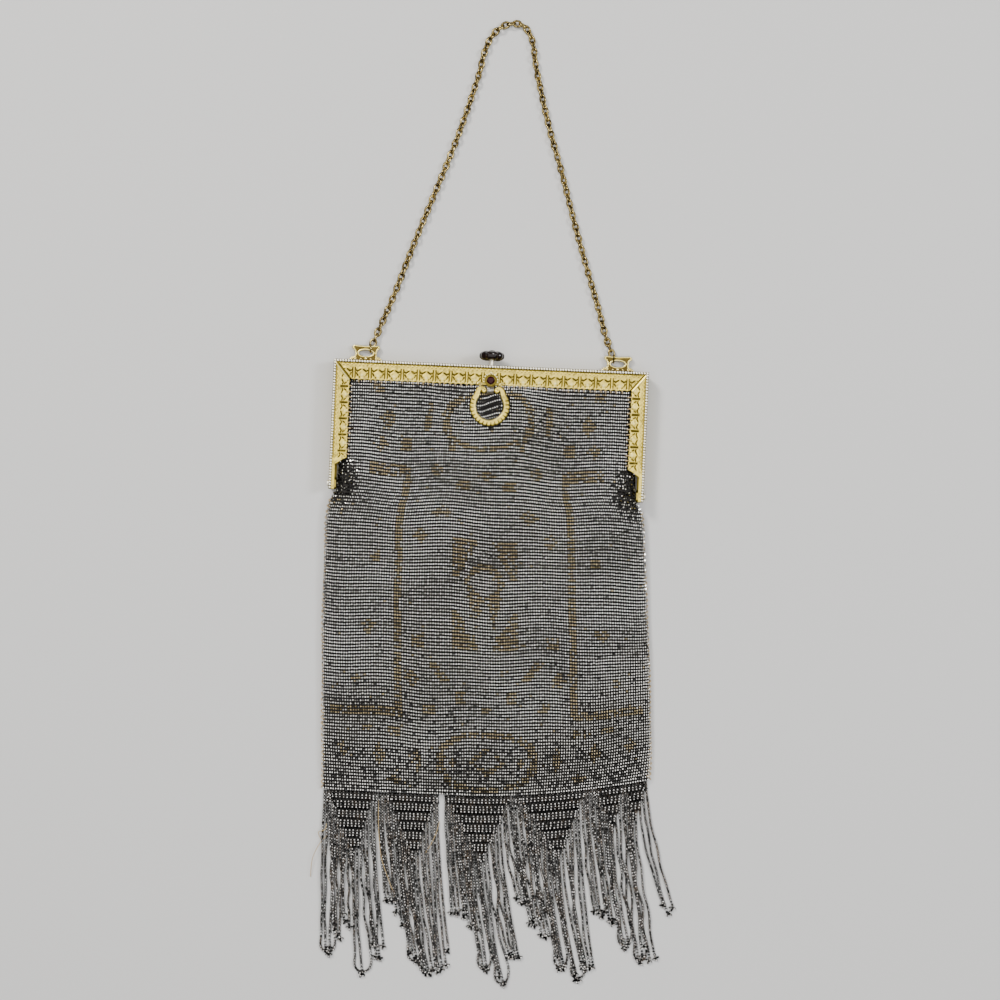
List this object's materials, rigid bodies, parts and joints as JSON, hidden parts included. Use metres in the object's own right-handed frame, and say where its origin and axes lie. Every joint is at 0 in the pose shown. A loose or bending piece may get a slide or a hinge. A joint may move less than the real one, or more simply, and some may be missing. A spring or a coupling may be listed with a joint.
{
  "type": "beaded evening purse",
  "caption": "Flat beaded pouch on a gilt hinged metal frame, with a chain handle, a push-knob clasp, a lifting ring pull with a red stone, and a netted bead fringe.",
  "frame": {"origin": "on the rear face, which lies on the surface, at the middle of the top bar", "axes": "+X along the top bar, to the right seen from the front; +Y from the fringe towards the chain; +Z out of the front, up from the surface"},
  "size_m": [0.1598, 0.4273, 0.0132],
  "materials": {
    "gilt_brass": "stamped, gilt, lightly rubbed",
    "antique_brass": "darkened wire",
    "dark_knob": "polished, lobed",
    "red_stone": "faceted",
    "steel_beads": "faceted steel and bronze beads knitted in rows",
    "bronze_beads": "faceted beads of the pattern",
    "silk_thread": "knitted silk and loose thread",
    "fringe_beads": "faceted steel beads on thread"
  },
  "bodies": {
    "purse": {"frame_back": "gilt_brass", "frame_front": "gilt_brass", "hinge_pin_left": "gilt_brass", "hinge_pin_right": "gilt_brass", "catch_tongue": "gilt_brass", "ring_pin": "antique_brass", "garnet": "red_stone", "bag_body": "steel_beads", "fringe": "fringe_beads", "chain_link_left": "antique_brass", "chain_link_right": "antique_brass", "chain": "antique_brass"},
    "knob": {"push_knob": "dark_knob", "knob_stem": "gilt_brass"},
    "ring": {"ring_pull": "gilt_brass"}
  },
  "joints": [
    {"name": "knob_press", "type": "slide", "parent": "purse", "child": "knob", "axis": [0, -1, 0], "range_m": [0, 0.0018], "stiffness_N_per_m": 400, "springref_m": -0.001},
    {"name": "ring_lift", "type": "hinge", "parent": "purse", "child": "ring", "pos_m": [0, -0.0067, 0.0113], "axis": [-1, 0, 0], "range_deg": [0, 110]}
  ]
}
